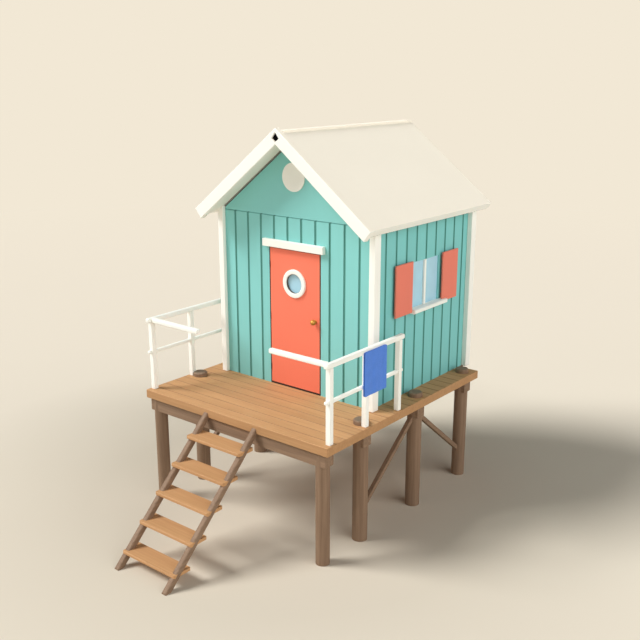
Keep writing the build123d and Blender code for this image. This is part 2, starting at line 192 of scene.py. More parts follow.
# A ring of points drawn on from one profile point to the next: radius, and y from the wall's face
def turnedPiece(name, profile, height, x=0, segments=96, hollow=True):
    profile = [(radius, y + shift) for radius, y in profile]
    radius, y = profile[0]
    deselect()
    bpy.ops.mesh.primitive_circle_add(
        vertices=segments, radius=radius, fill_type="NOTHING" if hollow else "NGON",
        location=(x, y, height), rotation=(quarter, 0, 0),
    )
    piece = bpy.context.object
    piece.name = name
    settle(piece)
    bpy.ops.object.mode_set(mode="EDIT")
    bpy.ops.mesh.select_mode(type="EDGE")
    bpy.ops.mesh.select_all(action="SELECT")
    extrude = bpy.ops.mesh.extrude_edges_move
    if not hollow:
        bpy.ops.mesh.select_mode(type="FACE")
        extrude = bpy.ops.mesh.extrude_region_move
    for nextRadius, nextY in profile[1:] + (profile[:1] if hollow else []):
        extrude(TRANSFORM_OT_translate={"value": (0, nextY - y, 0)})
        factor = nextRadius / radius
        bpy.ops.transform.resize(value=(factor, 1, factor), center_override=(x, nextY, height))
        radius, y = nextRadius, nextY
    bpy.ops.mesh.select_all(action="SELECT")
    bpy.ops.mesh.remove_doubles(threshold=weld)
    bpy.ops.mesh.normals_make_consistent(inside=False)
    leaveEdit()
    return piece


# The finished piece: its shading, finish, body and the node it stands for
def finishPiece(piece, material, body="hut", stands=(), angle=38, even=True):
    only(piece)
    bpy.ops.object.shade_smooth_by_angle(angle=math.radians(angle))
    if even:
        modify(piece, "WEIGHTED_NORMAL", keep_sharp=True)
    piece.data.materials.clear()
    piece.data.materials.append(material)
    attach(piece, body)
    if stands:
        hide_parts(*stands)


# A further finish on the faces that pass a test
def alsoFinish(piece, material, test):
    piece.data.materials.append(material)
    for face in piece.data.polygons:
        if test(face.center, face.normal):
            face.material_index = len(piece.data.materials) - 1


# Small helpers for shaders

def feed(tree, socket, value):
    if isinstance(value, bpy.types.NodeSocket):
        tree.links.new(value, socket)
    else:
        socket.default_value = value


# A node with its inputs and its other settings by name
def put(tree, kind, **settings):
    node = tree.nodes.new(kind)
    for name, value in settings.items():
        if name in node.inputs:
            feed(tree, node.inputs[name], value)
        else:
            setattr(node, name, value)
    return node


# A node whose inputs are filled in their own order
def operate(tree, kind, operation, values):
    node = put(tree, kind, operation=operation)
    for socket, value in zip(node.inputs, values):
        feed(tree, socket, value)
    return node.outputs


def maths(tree, operation, *values):
    return operate(tree, "ShaderNodeMath", operation, values)[0]


def vectorMaths(tree, operation, *values):
    return operate(tree, "ShaderNodeVectorMath", operation, values)


def mapped(tree, value, low, high, outLow, outHigh):
    return put(tree, "ShaderNodeMapRange", **{
        "Value": value, "From Min": low, "From Max": high, "To Min": outLow, "To Max": outHigh,
    }).outputs[0]


def noise(tree, vector, scale, detail, roughness=0.5):
    return put(tree, "ShaderNodeTexNoise", Vector=vector, Scale=scale, Detail=detail,
               Roughness=roughness).outputs["Fac"]


# Noise spread over a range: most of it lies between 0.3 and 0.7
def spread(tree, value, low, high):
    return mapped(tree, value, 0.3, 0.7, low, high)


# One less an amount, and one more
def aroundOne(tree, amount):
    return maths(tree, "SUBTRACT", 1.0, amount), maths(tree, "ADD", 1.0, amount)


def stretched(tree, vector, scale, turn=(0, 0, 0)):
    return put(tree, "ShaderNodeMapping", Vector=vector, Scale=scale, Rotation=turn).outputs[0]


def splitUp(tree, vector):
    return put(tree, "ShaderNodeSeparateXYZ", Vector=vector).outputs


# Which way the face looks, by axis
def facing(tree):
    return splitUp(tree, put(tree, "ShaderNodeNewGeometry").outputs["Normal"])


# A mix node has its two colours at sockets 6 and 7, and its two values at 2 and 3
def mixed(tree, factor, first, second, kind="RGBA"):
    node = put(tree, "ShaderNodeMix", data_type=kind)
    place, out = (6, 2) if kind == "RGBA" else (2, 0)
    for index, value in ((0, factor), (place, first), (place + 1, second)):
        feed(tree, node.inputs[index], value)
    return node.outputs[out]


def scaledColour(tree, colour, factor):
    return put(tree, "ShaderNodeVectorMath", operation="SCALE", Vector=colour, Scale=factor).outputs[0]


def shadedColour(tree, colour, factor):
    base = put(tree, "ShaderNodeRGB")
    base.outputs[0].default_value = colour
    return scaledColour(tree, base.outputs[0], factor)


def bumped(tree, height, strength, distance):
    return put(tree, "ShaderNodeBump", Strength=strength, Distance=distance, Height=height).outputs[0]


# A node group's inputs: no first value means a vector, and a tuple means a colour
def newGroup(name, **inputs):
    group = bpy.data.node_groups.new(name, "ShaderNodeTree")
    for label, value in inputs.items():
        kind = "Vector" if value is None else "Color" if isinstance(value, tuple) else "Float"
        socket = group.interface.new_socket(name=label, in_out="INPUT", socket_type="NodeSocket" + kind)
        if value is not None:
            socket.default_value = value
    return group, group.nodes.new("NodeGroupInput").outputs


# A node group's outputs: values, apart from the one called Colour
def closeGroup(group, **results):
    for label in results:
        kind = "Color" if label == "Colour" else "Float"
        group.interface.new_socket(name=label, in_out="OUTPUT", socket_type="NodeSocket" + kind)
    out = group.nodes.new("NodeGroupOutput")
    for label, value in results.items():
        feed(group, out.inputs[label], value)
    return group


def useGroup(tree, group, **values):
    return put(tree, "ShaderNodeGroup", node_tree=group, **values)


def newMaterial(name):
    material = bpy.data.materials.new(name)
    material.use_nodes = True
    tree = material.node_tree
    return material, tree, tree.nodes.new("ShaderNodeTexCoord").outputs["Object"]


def dressed(material, values):
    tree = material.node_tree
    for name, value in values.items():
        feed(tree, tree.nodes["Principled BSDF"].inputs[name], value)
    return material


def linear(red, green, blue):
    values = (red / 255, green / 255, blue / 255)
    lit = [value / 12.92 if value < 0.04045 else ((value + 0.055) / 1.055) ** 2.4 for value in values]
    return (*lit, 1)


# Paint: soft blotches, brush streaks along local z and a slow change of sheen
def makePaintGroup():
    group, given = newGroup("brushedPaint", Vector=None, Colour=(1, 1, 1, 1), Variation=0.06, Sheen=0.5)
    vector = given["Vector"]
    blotch = noise(group, vector, 1.7, 3)
    streak = noise(group, stretched(group, vector, (90, 90, 2.2)), 1, 4, 0.6)
    fine = noise(group, stretched(group, vector, (420, 420, 9)), 1, 2)
    both = maths(group, "MULTIPLY_ADD", streak, 0.45, maths(group, "MULTIPLY", blotch, 0.55))
    factor = spread(group, both, *aroundOne(group, given["Variation"]))
    return closeGroup(
        group,
        Colour=scaledColour(group, given["Colour"], factor),
        Roughness=maths(group, "ADD", given["Sheen"], spread(group, blotch, -0.06, 0.06)),
        Height=maths(group, "MULTIPLY_ADD", fine, 0.4, streak),
    )


# One tint for each board, from its number along one direction, and a mask over the seams for the painted
# shade in them
def makeBoardGroup():
    group, given = newGroup("boardTint", Place=0.0, First=0.0, Pitch=0.25, Amount=0.05, Seam=0.02)
    count = maths(group, "DIVIDE", maths(group, "SUBTRACT", given["Place"], given["First"]), given["Pitch"])
    number = maths(group, "FLOOR", count)
    nearest = maths(group, "SUBTRACT", count, maths(group, "ROUND", count))
    away = maths(group, "MULTIPLY", maths(group, "ABSOLUTE", nearest), given["Pitch"])
    halfSeam = maths(group, "MULTIPLY", given["Seam"], 0.5)
    seed = maths(group, "ADD", number, 17.3)
    chance = put(group, "ShaderNodeTexWhiteNoise", noise_dimensions="1D", W=seed)
    return closeGroup(
        group,
        Factor=mapped(group, chance.outputs["Value"], 0.0, 1.0, *aroundOne(group, given["Amount"])),
        Number=number,
        Dark=mapped(group, away, maths(group, "MULTIPLY", halfSeam, 0.55), halfSeam, 1.0, 0.0),
    )


# Timber: long fibres and darker bands along local x
def makeGrainGroup():
    group, given = newGroup("timberGrain", Vector=None, Light=(1, 1, 1, 1), Dark=(0, 0, 0, 1), Contrast=0.5)
    vector = given["Vector"]
    bands = noise(group, stretched(group, vector, (0.8, 26, 26)), 1, 3, 0.55)
    fibres = noise(group, stretched(group, vector, (3.5, 210, 210)), 1, 4, 0.65)
    clouds = noise(group, stretched(group, vector, (0.9, 3, 3)), 1, 2)
    mixture = maths(group, "MULTIPLY_ADD", bands, 0.5, maths(group, "MULTIPLY", fibres, 0.25))
    mixture = maths(group, "MULTIPLY_ADD", clouds, 0.25, mixture)
    factor = mapped(group, mixture, 0.4, 0.62, 0.0, given["Contrast"])
    return closeGroup(
        group,
        Colour=mixed(group, factor, given["Light"], given["Dark"]),
        Roughness=spread(group, fibres, 0.56, 0.72),
        Height=maths(group, "MULTIPLY_ADD", bands, -0.4, fibres),
    )


# Growth rings on a sawn end round an upright log's middle, which lies across to both sides
def makeEndGroup():
    ringPitch = 0.009
    group, given = newGroup("endGrain", Vector=None, Across=0.0, Back=0.0)
    split = splitUp(group, given["Vector"])
    sideways = maths(group, "SUBTRACT", maths(group, "ABSOLUTE", split["X"]), given["Across"])
    along = maths(group, "SUBTRACT", split["Y"], given["Back"])
    squares = maths(group, "MULTIPLY_ADD", sideways, sideways, maths(group, "MULTIPLY", along, along))
    bent = noise(group, given["Vector"], 7, 2)
    radius = maths(group, "MULTIPLY_ADD", bent, 0.02, maths(group, "SQRT", squares))
    wave = maths(group, "SINE", maths(group, "MULTIPLY", radius, 2 * math.pi / ringPitch))
    return closeGroup(group, Rings=mapped(group, wave, -1.0, 1.0, 0.35, 0.85))


# A mask along outer edges, broken up so that the wear isn't even
def makeWearGroup():
    group, given = newGroup("edgeWear", Vector=None, Width=0.006, Amount=0.5)
    geometry = put(group, "ShaderNodeNewGeometry")
    rounded = put(group, "ShaderNodeBevel", samples=4, Radius=given["Width"])
    turned = vectorMaths(group, "DOT_PRODUCT", geometry.outputs["True Normal"], rounded.outputs["Normal"])
    edge = mapped(group, turned["Value"], 0.995, 0.86, 0.0, 1.0)
    chips = mapped(group, noise(group, given["Vector"], 34, 4, 0.65), 0.48, 0.62, 0.0, 1.0)
    mask = maths(group, "MULTIPLY", maths(group, "MULTIPLY", edge, chips), given["Amount"])
    return closeGroup(group, Mask=mask)


brushedPaint = makePaintGroup()
boardTint = makeBoardGroup()
timberGrain = makeGrainGroup()
endGrain = makeEndGroup()
edgeWear = makeWearGroup()


# Each board's own tint on the colour, with painted shade darkening the seams between them
def overBoards(tree, place, colour, boards):
    tint = useGroup(tree, boardTint, Place=splitUp(tree, place)[boards["axis"]], First=boards["first"],
                    Pitch=boards["pitch"], Amount=boards["amount"], Seam=boards["seam"]).outputs
    dark = maths(tree, "MULTIPLY", tint["Dark"], boards["shade"])
    factor = tint["Factor"]
    # On the deck, painted shade: the seams darken only on faces that look up, and faces that don't look up
    # take a darker colour
    if "edges" in boards:
        top = mapped(tree, facing(tree)["Z"], 0.3, 0.7, 0.0, 1.0)
        dark = maths(tree, "MULTIPLY", dark, top)
        factor = mixed(tree, top, boards["edges"], factor, "FLOAT")
    return mixed(tree, dark, scaledColour(tree, colour, factor), boards["seamShadeColour"]), tint["Number"]


# Painted shade of a gap: a dark line where a face lies outside half of a width, or below or above a height
def paintedShadeLine(tree, place, colour, gap):
    split = splitUp(tree, place)
    sideways = maths(tree, "ABSOLUTE", maths(tree, "SUBTRACT", split["X"], gap["middle"]))
    mask = maths(tree, "GREATER_THAN", sideways, gap["half"])
    mask = maths(tree, "MAXIMUM", mask, maths(tree, "LESS_THAN", split["Z"], gap["low"]))
    mask = maths(tree, "MAXIMUM", mask, maths(tree, "GREATER_THAN", split["Z"], gap["high"]))
    if gap["inside"]:
        mask = maths(tree, "SUBTRACT", 1.0, mask)
    mask = maths(tree, "MULTIPLY", mask, maths(tree, "LESS_THAN", split["Y"], gap["back"]))
    return mixed(tree, mask, colour, palette["gap"])


palette = {
    "teal": linear(136, 208, 204),
    "tealShade": linear(125, 199, 197),
    "seamShadeTeal": linear(70, 140, 130),
    "seamShadeTan": linear(120, 84, 52),
    # gap: a dark colour for painted shade in gaps
    "gap": linear(58, 44, 38),
    "bare": linear(214, 196, 164),
    "white": linear(249, 249, 241),
    "roof": linear(254, 247, 230),
    "coral": linear(247, 126, 98),
    "shutter": linear(231, 124, 103),
    "seal": linear(104, 92, 86),
    # A brownish colour for the painted shade low on the walls and door
    "paintedLowShade": linear(96, 78, 54),
    "tanLight": linear(198, 152, 106),
    "tanDark": linear(172, 125, 81),
    "brownLight": linear(142, 116, 93),
    "brownDark": linear(112, 88, 69),
    "sawnEnd": linear(120, 104, 88),
    "glass": linear(180, 227, 246),
    "brass": linear(192, 140, 64),
    "black": linear(5, 5, 6),
    "towel": linear(84, 136, 228),
    "steel": linear(150, 148, 142),
}
paintLook = {"wearWidth": 0.006, "relief": 0.25, "depth": 0.0012, "specular": 0.35, "paintedShadeHigh": 0.75}


# Paint on timber, brushed along the piece's own length, with painted shade that darkens it low down towards
# the deck
def paintFinish(name, colour, sheen, variation, turn=(0, 0, 0), boards=None, wear=0.15, gap=None, paintedLowShade=0,
                specular=paintLook["specular"]):
    material, tree, place = newMaterial(name)
    vector = stretched(tree, place, (1, 1, 1), turn)
    paint = useGroup(tree, brushedPaint, Vector=vector, Colour=palette[colour], Variation=variation,
                     Sheen=sheen).outputs
    finish = paint["Colour"]
    if boards:
        finish = overBoards(tree, place, finish, boards)[0]
    worn = useGroup(tree, edgeWear, Vector=place, Width=paintLook["wearWidth"], Amount=wear)
    finish = mixed(tree, worn.outputs["Mask"], finish, palette["bare"])
    if paintedLowShade:
        # Painted shade low down: darker towards the deck, fading out higher up
        low = mapped(tree, splitUp(tree, place)["Z"], deckTop, deckTop + paintLook["paintedShadeHigh"], paintedLowShade, 0.0)
        finish = mixed(tree, low, finish, palette["paintedLowShade"])
    if gap:
        finish = paintedShadeLine(tree, place, finish, gap)
    return dressed(material, {
        "Base Color": finish, "Roughness": paint["Roughness"], "Specular IOR Level": specular,
        "Normal": bumped(tree, paint["Height"], paintLook["relief"], paintLook["depth"]),
    })


timberLook = {
    "tan": {"light": palette["tanLight"], "dark": palette["tanDark"], "contrast": 0.55, "relief": 0.5},
    "brown": {"light": palette["brownLight"], "dark": palette["brownDark"], "contrast": 0.7, "relief": 0.8},
    "depth": 0.0015,
    "boardStep": 3.71,
    "specular": 0.3,
}


# Oiled or stained timber with the grain along the piece, and rings on the sawn ends of a log
def timberFinish(name, kind, turn=(0, 0, 0), boards=None, log=None):
    look = timberLook[kind]
    material, tree, place = newMaterial(name)
    vector = stretched(tree, place, (1, 1, 1), turn)
    grain = useGroup(tree, timberGrain, Vector=vector, Light=look["light"], Dark=look["dark"],
                     Contrast=look["contrast"])
    finish = grain.outputs["Colour"]
    if boards:
        finish, number = overBoards(tree, place, finish, boards)
        step = maths(tree, "MULTIPLY", number, timberLook["boardStep"])
        aside = put(tree, "ShaderNodeCombineXYZ", X=step).outputs[0]
        feed(tree, grain.inputs["Vector"], vectorMaths(tree, "ADD", vector, aside)["Vector"])
    if log:
        sawn = useGroup(tree, endGrain, Vector=place, Across=log[0], Back=log[1])
        flat = mapped(tree, maths(tree, "ABSOLUTE", facing(tree)["Z"]), 0.8, 0.92, 0.0, 1.0)
        mask = maths(tree, "MULTIPLY", flat, sawn.outputs["Rings"])
        finish = mixed(tree, mask, finish, palette["sawnEnd"])
    return dressed(material, {
        "Base Color": finish, "Roughness": grain.outputs["Roughness"],
        "Specular IOR Level": timberLook["specular"],
        "Normal": bumped(tree, grain.outputs["Height"], look["relief"], timberLook["depth"]),
    })


deckFront = -1.374 + shift
deckFirst = deckFront + 0.180
# Wall seams: painted shade, a darker teal across each groove, with shade as its strength
wallSeams = {"amount": 0.02, "shade": 0.9, "seamShadeColour": palette["seamShadeTeal"]}
frontBoards = {**wallSeams, "axis": "X", "first": -1.125, "pitch": 0.250, "seam": 0.044, "grooves": 10}
sideBoards = {**wallSeams, "axis": "Y", "first": 0.294 + shift, "pitch": 0.2506, "seam": 0.054,
              "grooves": 9}
# Deck seams with painted shade; edges is the colour factor, a painted shade, on the deck's faces that don't
# look up
deckSeams = {"axis": "Y", "first": deckFirst, "pitch": 0.186, "amount": 0.04, "seam": 0.017, "shade": 0.6,
             "seamShadeColour": palette["seamShadeTan"], "edges": 0.86}
# Painted shade round the door: a dark band on the doorway's jambs and rim and on the leaf's edges, in their
# front few millimetres
doorwayShade = {"middle": 0, "half": 0.4704, "low": 0, "high": deckTop + 2.0554, "back": shift + 0.014,
              "inside": True}
leafShade = {"middle": -0.001, "half": 0.4512, "low": deckTop + 0.0275, "high": deckTop + 2.038,
           "back": shift + 0.008, "inside": False}
alongSide = (quarter, 0, 0)

tealFront = paintFinish("tealFrontBoards", "teal", 0.55, 0.02, boards=frontBoards, gap=doorwayShade,
                        paintedLowShade=0.08)
tealBack = paintFinish("tealBackBoards", "teal", 0.55, 0.02, boards=frontBoards, paintedLowShade=0.08)
# The side walls take a darker copy of the teal: painted shade
tealSide = paintFinish("tealSideBoards", "tealShade", 0.55, 0.02, boards=sideBoards, paintedLowShade=0.04)
tealPlain = paintFinish("tealGable", "teal", 0.55, 0.02)
whiteUpright = paintFinish("whiteUpright", "white", 0.5, 0.012, wear=0.05)
whiteAcross = paintFinish("whiteAcross", "white", 0.5, 0.012, turn=(0, quarter, 0), wear=0.05)
whiteBack = paintFinish("whiteAlongSide", "white", 0.5, 0.012, turn=alongSide, wear=0.05)
roofPaint = paintFinish("creamRoof", "roof", 0.65, 0.012, turn=alongSide, wear=0.05, specular=0.8)
coralPaint = paintFinish("coralDoor", "coral", 0.5, 0.02, gap=leafShade, paintedLowShade=0.1)
coralShutter = paintFinish("coralShutters", "shutter", 0.5, 0.02)
deckTimber = timberFinish("deckTimber", "tan", boards=deckSeams)
treadTimber = timberFinish("treadTimber", "tan")
bearerTimber = timberFinish("bearerTimber", "brown")
braceTimber = timberFinish("braceTimber", "brown", turn=(0, 0, quarter))

pileX = 1.508
pileRows = {
    "front_piles": (-1.256 + shift, 0.0935),
    "second_piles": (-0.449 + shift, 0.105),
    "third_piles": (0.855 + shift, 0.106),
    "back_piles": (2.171 + shift, 0.100),
}
pileTimber = {row: timberFinish(row + "_timber", "brown", turn=(0, quarter, 0), log=(pileX, y))
              for row, (y, radius) in pileRows.items()}


# One colour with faint clouds in it
def plainFinish(name, colour, roughness, metallic=0.0, scale=60, specular=0.5):
    material, tree, place = newMaterial(name)
    cloud = spread(tree, noise(tree, place, scale, 4), 0.92, 1.08)
    blotch = noise(tree, place, scale * 3, 3)
    return dressed(material, {
        "Base Color": shadedColour(tree, palette[colour], cloud),
        "Roughness": spread(tree, blotch, roughness - 0.06, roughness + 0.08),
        "Metallic": metallic, "Specular IOR Level": specular,
    })


brass = plainFinish("agedBrass", "brass", 0.48, 0.65)
# A matt black finish on the vent plate: painted shade for the dark opening between the bargeboards
ventPaintedShade = plainFinish("ventPaintedShade", "black", 0.8, specular=0.05)
# A dark finish that is painted shade: on the door sill, the hinges and inside the shadow gaps
paintedShadeFinish = plainFinish("paintedShadeDark", "gap", 0.8, specular=0.2)
sealRubber = plainFinish("sealRubber", "seal", 0.7, specular=0.2)
screwMetal = plainFinish("galvanised", "steel", 0.45, 0.8, 200)
towelPlain = plainFinish("towelPlain", "towel", 0.9, specular=0.2)


# Glass that lets little light through, its pale blue base colour a painted reflection, with clouds in it
def glassFinish(name, colour):
    material, tree, place = newMaterial(name)
    reflectionClouds = spread(tree, noise(tree, place, 2.4, 2), 0.94, 1.05)
    return dressed(material, {
        "Base Color": shadedColour(tree, palette[colour], reflectionClouds),
        "Roughness": spread(tree, noise(tree, place, 9, 3), 0.04, 0.12),
        "Transmission Weight": 0.12, "IOR": 1.45,
    })


# Looped cotton on the towel's own map, with a flat hem along its edges
def terryFinish(name, colour, size, hem):
    material, tree, place = newMaterial(name)
    chart = put(tree, "ShaderNodeUVMap").outputs[0]
    cloth = stretched(tree, chart, (size[0], size[1], 1))
    loops = put(tree, "ShaderNodeTexVoronoi", Scale=420.0, Vector=cloth).outputs["Distance"]
    rows = noise(tree, stretched(tree, cloth, (60, 900, 1)), 1, 2)
    split = splitUp(tree, chart)
    edges = []
    for axis, length in (("X", size[0]), ("Y", size[1])):
        middle = maths(tree, "ABSOLUTE", maths(tree, "SUBTRACT", split[axis], 0.5))
        edges.append(maths(tree, "MULTIPLY", maths(tree, "SUBTRACT", 0.5, middle), length))
    pile = mapped(tree, maths(tree, "MINIMUM", *edges), hem * 0.85, hem, 0.0, 1.0)
    shade = mapped(tree, loops, 0.0, 0.8, 1.07, 0.86)
    cloudy = spread(tree, noise(tree, cloth, 9, 3), 0.96, 1.04)
    factor = maths(tree, "MULTIPLY", cloudy, mixed(tree, pile, 0.93, shade, "FLOAT"))
    height = maths(tree, "MULTIPLY", pile, maths(tree, "SUBTRACT", 1.3, loops))
    return dressed(material, {
        "Base Color": shadedColour(tree, palette[colour], factor),
        "Roughness": spread(tree, rows, 0.86, 0.98), "Normal": bumped(tree, height, 0.6, 0.0015),
        "Sheen Weight": 0.25, "Specular IOR Level": 0.2,
    })


def paintNode(name, material):
    nodes[name].data.materials.clear()
    nodes[name].data.materials.append(material)


bySlot = {
    "teal_boards": tealPlain, "white_paint": whiteUpright, "roof_boards": roofPaint,
    "coral_paint": coralPaint, "deck_timber": deckTimber, "pile_timber": bearerTimber,
    "pane": glassFinish("paneGlass", "glass"), "knob_brass": brass, "vent_black": ventPaintedShade,
    "towel_cloth": towelPlain,
}
for row in frame["record"]["subparts"]:
    paintNode(row["node"], bySlot[row["material_slot"]])
# The door sill and the hinges take the dark painted shade of the gap round the door
for name in ("door_sill", "hinge_frame_parts", "hinge_door_parts"):
    paintNode(name, paintedShadeFinish)
print("materials done")

# Boarded walls
walls = {
    "halfWidth": 1.340,
    "front": shift,
    "back": 2.500 + shift,
    "thick": 0.090,
    "seam": deckTop + 2.507,
    "seamDeep": 0.018,
    "seamHigh": 0.012,
    "seamHalf": 2,
    "eave": deckTop + 2.544,
    "rise": 0.090 * math.tan(math.radians(37.74)),
    "doorHalf": 0.460,
    "doorTop": deckTop + 2.045,
    "doorEdge": 0.010,
    "windowFront": 0.912 + shift,
    "windowBack": 1.638 + shift,
    "windowLow": deckTop + 1.232,
    "windowHigh": deckTop + 1.893,
    "grooveWidth": 0.038,
    "grooveSlot": 0.030,
    "grooveDepth": 0.010,
}
past = 0.05  # how far a cutter of the walls runs past them
farPast = 0.2  # the same at the windows and under the leaning eaves


# A groove with bevelled lips, cut into the face at y = 0 and running up from low to high
def grooveCutter(low, high, look):
    width, slot, depth = look["grooveWidth"], look["grooveSlot"], look["grooveDepth"]
    outside = 0.02
    cutter = boxPiece("groove", (-width / 2, -outside, low), (width / 2, depth, high))
    lip = (width - slot) / 2
    for level in (0.0, lip):
        editAll(cutter)
        bpy.ops.mesh.bisect(plane_co=(0, level, 0), plane_no=(0, 1, 0))
    leaveEdit()
    pick(cutter, lambda co: co.y > lip - hair / 2, "VERT")
    bpy.ops.transform.resize(value=(slot / width, 1, 1), center_override=(0, depth, low))
    leaveEdit()
    return cutter


def cutGrooves(piece, places, low, high, look, turn):
    first = grooveCutter(low, high, look)
    twins = [copyOf(first, "groove", place, turn) for place in places]
    bpy.data.objects.remove(first)
    cut(piece, joined(twins, "grooves"))


def boardLines(boards):
    return [boards["first"] + number * boards["pitch"] for number in range(boards["grooves"])]


def doorwayEdge(start, end):
    return all(abs(co.x) < walls["doorHalf"] + hair and co.z < walls["doorTop"] + hair
               and abs(co.y - walls["front"]) < hair for co in (start, end))


# Out is -1 at the front, where the doorway is, and 1 at the back
def endWall(name, face, out):
    inner = face - out * walls["thick"]
    low, high = sorted((face, inner))
    wall = boxPiece(name, (-walls["halfWidth"], low, deckTop), (walls["halfWidth"], high, walls["seam"]))
    if out < 0:
        half = walls["doorHalf"]
        cut(wall, boxPiece("doorway", (-half, face - 2 * past, deckTop - 2 * past),
                           (half, inner + 2 * past, walls["doorTop"])))
        roundEdges(wall, doorwayEdge, walls["doorEdge"], segments=1)
    cutGrooves(wall, [(x, face, 0) for x in boardLines(frontBoards)], deckTop - past,
               walls["seam"] + past, walls, (0, 0, 0 if out < 0 else math.pi))
    low, high = sorted((face + out * past, face - out * walls["seamDeep"]))
    cut(wall, boxPiece("seam", (-walls["seamHalf"], low, walls["seam"] - walls["seamHigh"]),
                       (walls["seamHalf"], high, walls["seam"] + past)))
    return wall


finishPiece(endWall("frontBoards", walls["front"], -1), tealFront,
            stands=("front_wall_left", "front_wall_right", "front_wall_over_door"))
finishPiece(endWall("backBoards", walls["back"], 1), tealBack, stands=("back_wall",))


def sideWall(name, side):
    outer = walls["halfWidth"]
    wall = boxPiece(name, (outer - walls["thick"], walls["front"] + walls["thick"], deckTop),
                    (outer, walls["back"] - walls["thick"], walls["eave"]))
    pick(wall, lambda co: co.z > walls["eave"] - hair and co.x < outer - hair, "VERT")
    bpy.ops.transform.translate(value=(0, 0, walls["rise"]))
    leaveEdit()
    cut(wall, boxPiece("windowHole", (outer - farPast, walls["windowFront"], walls["windowLow"]),
                       (outer + farPast, walls["windowBack"], walls["windowHigh"])))
    cutGrooves(wall, [(outer, y, 0) for y in boardLines(sideBoards)], deckTop - past,
               walls["eave"] + farPast, walls, (0, 0, quarter))
    if side < 0:
        flipOver(wall)
    return wall


# A narrow shadow gap where a gable meets the soffit: it is cut into both, with painted shade on its faces
# inside
gapLook = {"peak": 5.2711, "pitch": math.radians(37.74), "high": 0.020, "deep": 0.035, "before": 0.02,
           "length": 1.78, "overPeak": 0.010, "overlap": 0.004, "soffitWide": 0.016, "soffitDeep": 0.012,
           "gablePaintedShade": (-0.0262, -0.001), "soffitPaintedShade": (0.001, 0.0158), "steep": 0.9}


# A long box that leans with the roof, from below its soffit to above it
def slopeBox(side, ends, below, above):
    gap = boxPiece("gap", (-gapLook["overPeak"], min(ends), -below), (gapLook["length"], max(ends), above))
    gap.rotation_euler = (0, gapLook["pitch"], 0)
    gap.location = (0, 0, gapLook["peak"])
    settle(gap)
    if side < 0:
        flipOver(gap)
    return gap


# Painted shade: the dark finish on the faces between two heights above the line of the soffit
def paintGapShade(piece, low, high):
    def inGap(middle, normal):
        rise = middle.z - gapLook["peak"] + math.tan(gapLook["pitch"]) * abs(middle.x)
        return low < rise < high and abs(normal.x) < gapLook["steep"]

    alsoFinish(piece, paintedShadeFinish, inGap)


def gablePiece(name, node, face, out):
    gable = cadCopy(name, node)
    for side in (-1, 1):
        ends = (face + out * gapLook["before"], face - out * gapLook["deep"])
        cut(gable, slopeBox(side, ends, gapLook["high"], gapLook["overlap"]))
    finishPiece(gable, tealPlain, stands=(node,))
    paintGapShade(gable, *gapLook["gablePaintedShade"])


gablePiece("gableFront", "front_gable", walls["front"], -1)
gablePiece("gableBack", "back_gable", walls["back"], 1)
for sideName, side in (("right", 1), ("left", -1)):
    finishPiece(sideWall(sideName + "Boards", side), tealSide,
                stands=(sideName + "_wall_ends", sideName + "_wall_middle"))
print("walls done")

# Deck boards, with the piles coming up through them
deckLook = {"half": 1.676, "back": 2.375 + shift, "low": deckTop - 0.122, "round": 0.010, "lastBoard": 0.03,
            "grooveHalf": 1.670, "grooveWidth": 0.011, "grooveSlot": 0.005, "grooveDepth": 0.009,
            "pileRoom": 0.002, "holeDeep": 0.6}
deckBoards = boxPiece("deckBoards", (-deckLook["half"], deckFront, deckLook["low"]),
                      (deckLook["half"], deckLook["back"], deckTop))
soften(deckBoards, deckLook["round"])
deckLines = []
line = deckFirst
while line < deckLook["back"] - deckLook["lastBoard"]:
    deckLines.append(line)
    line += deckSeams["pitch"]
cutGrooves(deckBoards, [(0, line, deckTop) for line in deckLines], -deckLook["grooveHalf"],
           deckLook["grooveHalf"], deckLook, (-quarter, 0, quarter))
deckPiles = [pileRows[row] for row in ("second_piles", "third_piles", "back_piles")]
for y, radius in deckPiles:
    for side in (-1, 1):
        cut(deckBoards, cylinderPiece(radius + deckLook["pileRoom"], deckLook["holeDeep"],
                                      (side * pileX, y, deckTop), vertices=64))
finishPiece(deckBoards, deckTimber, stands=("deck",))
print("deck done")

# Pieces with the CAD's own shape and rounder edges: width of the rounding, finish, slot, node
softPieces = {
    "cornerPosts": (0.010, whiteUpright, "white_paint", "corner_posts"),
    "railPosts": (0.009, whiteUpright, "white_paint", "rail_posts"),
    "sideTopRails": (0.017, whiteBack, "white_paint", "side_top_rails"),
    "sideMidRails": (0.015, whiteBack, "white_paint", "side_mid_rails"),
    "frontRails": (0.017, whiteAcross, "white_paint", "front_rails"),
    "lintelBoard": (0.006, whiteAcross, "white_paint", "lintel"),
    "mullions": (0.004, whiteUpright, "white_paint", "window_mullions"),
    "gableDisc": (0.002, whiteUpright, "white_paint", "gable_disc"),
    "ridgeCap": (0.005, roofPaint, "roof_boards", "ridge_cap"),
    "shutterPanels": (0.007, coralShutter, "coral_paint", "shutters"),
    "frontPiles": (0.008, pileTimber["front_piles"], "pile_timber", "front_piles"),
    "secondPiles": (0.008, pileTimber["second_piles"], "pile_timber", "second_piles"),
    "thirdPiles": (0.008, pileTimber["third_piles"], "pile_timber", "third_piles"),
    "backPiles": (0.008, pileTimber["back_piles"], "pile_timber", "back_piles"),
    "bearerBeams": (0.007, bearerTimber, "pile_timber", "bearers"),
    "rearFloorBeam": (0.006, bearerTimber, "pile_timber", "back_floor_beam"),
    "braceBars": (0.008, braceTimber, "pile_timber", "braces"),
    "leftStringer": (0.004, braceTimber, "pile_timber", "left_stringer"),
    "rightStringer": (0.004, braceTimber, "pile_timber", "right_stringer"),
}
for number in range(1, 6):
    softPieces["tread" + str(number)] = (0.005, treadTimber, "deck_timber", "tread_" + str(number))
